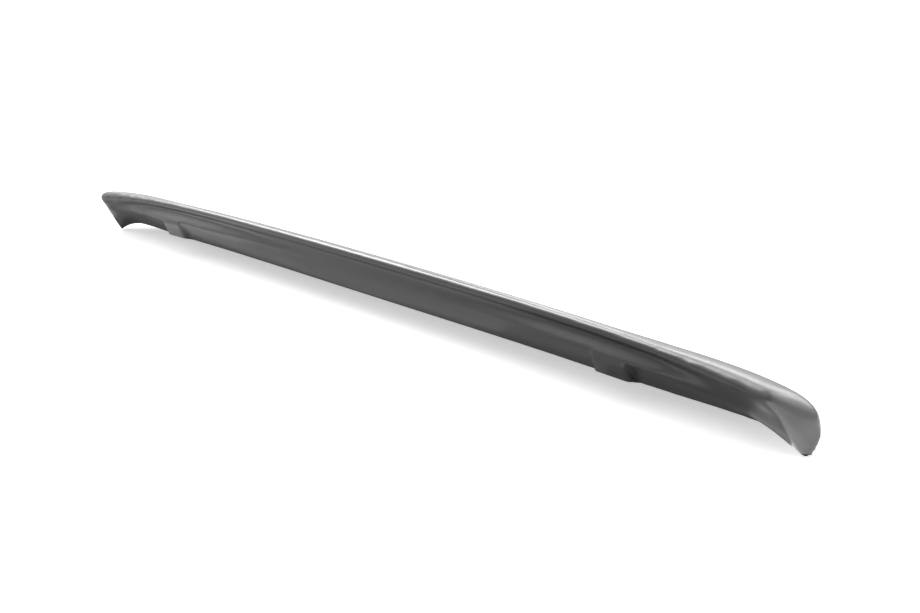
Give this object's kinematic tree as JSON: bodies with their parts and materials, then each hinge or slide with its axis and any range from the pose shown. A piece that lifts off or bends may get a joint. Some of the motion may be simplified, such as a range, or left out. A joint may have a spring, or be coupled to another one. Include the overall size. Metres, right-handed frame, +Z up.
{
  "type": "car rear spoiler",
  "caption": "Slim boot-lid lip spoiler: a long wedge with a rounded trailing lip, an undercut rear face recessed between its feet, and end cheeks that curl down to claws.",
  "frame": {"origin": "middle of the bounding box, on the floor that the claws and the front edge stand on", "axes": "+X along the lid edge to the right end, +Y towards the front of the car, +Z up"},
  "size_m": [1.1692, 0.1352, 0.0793],
  "materials": {
    "moulding": "satin grey moulded skin, unpainted"
  },
  "bodies": {
    "root": {"spoiler": "moulding"}
  },
  "joints": []
}
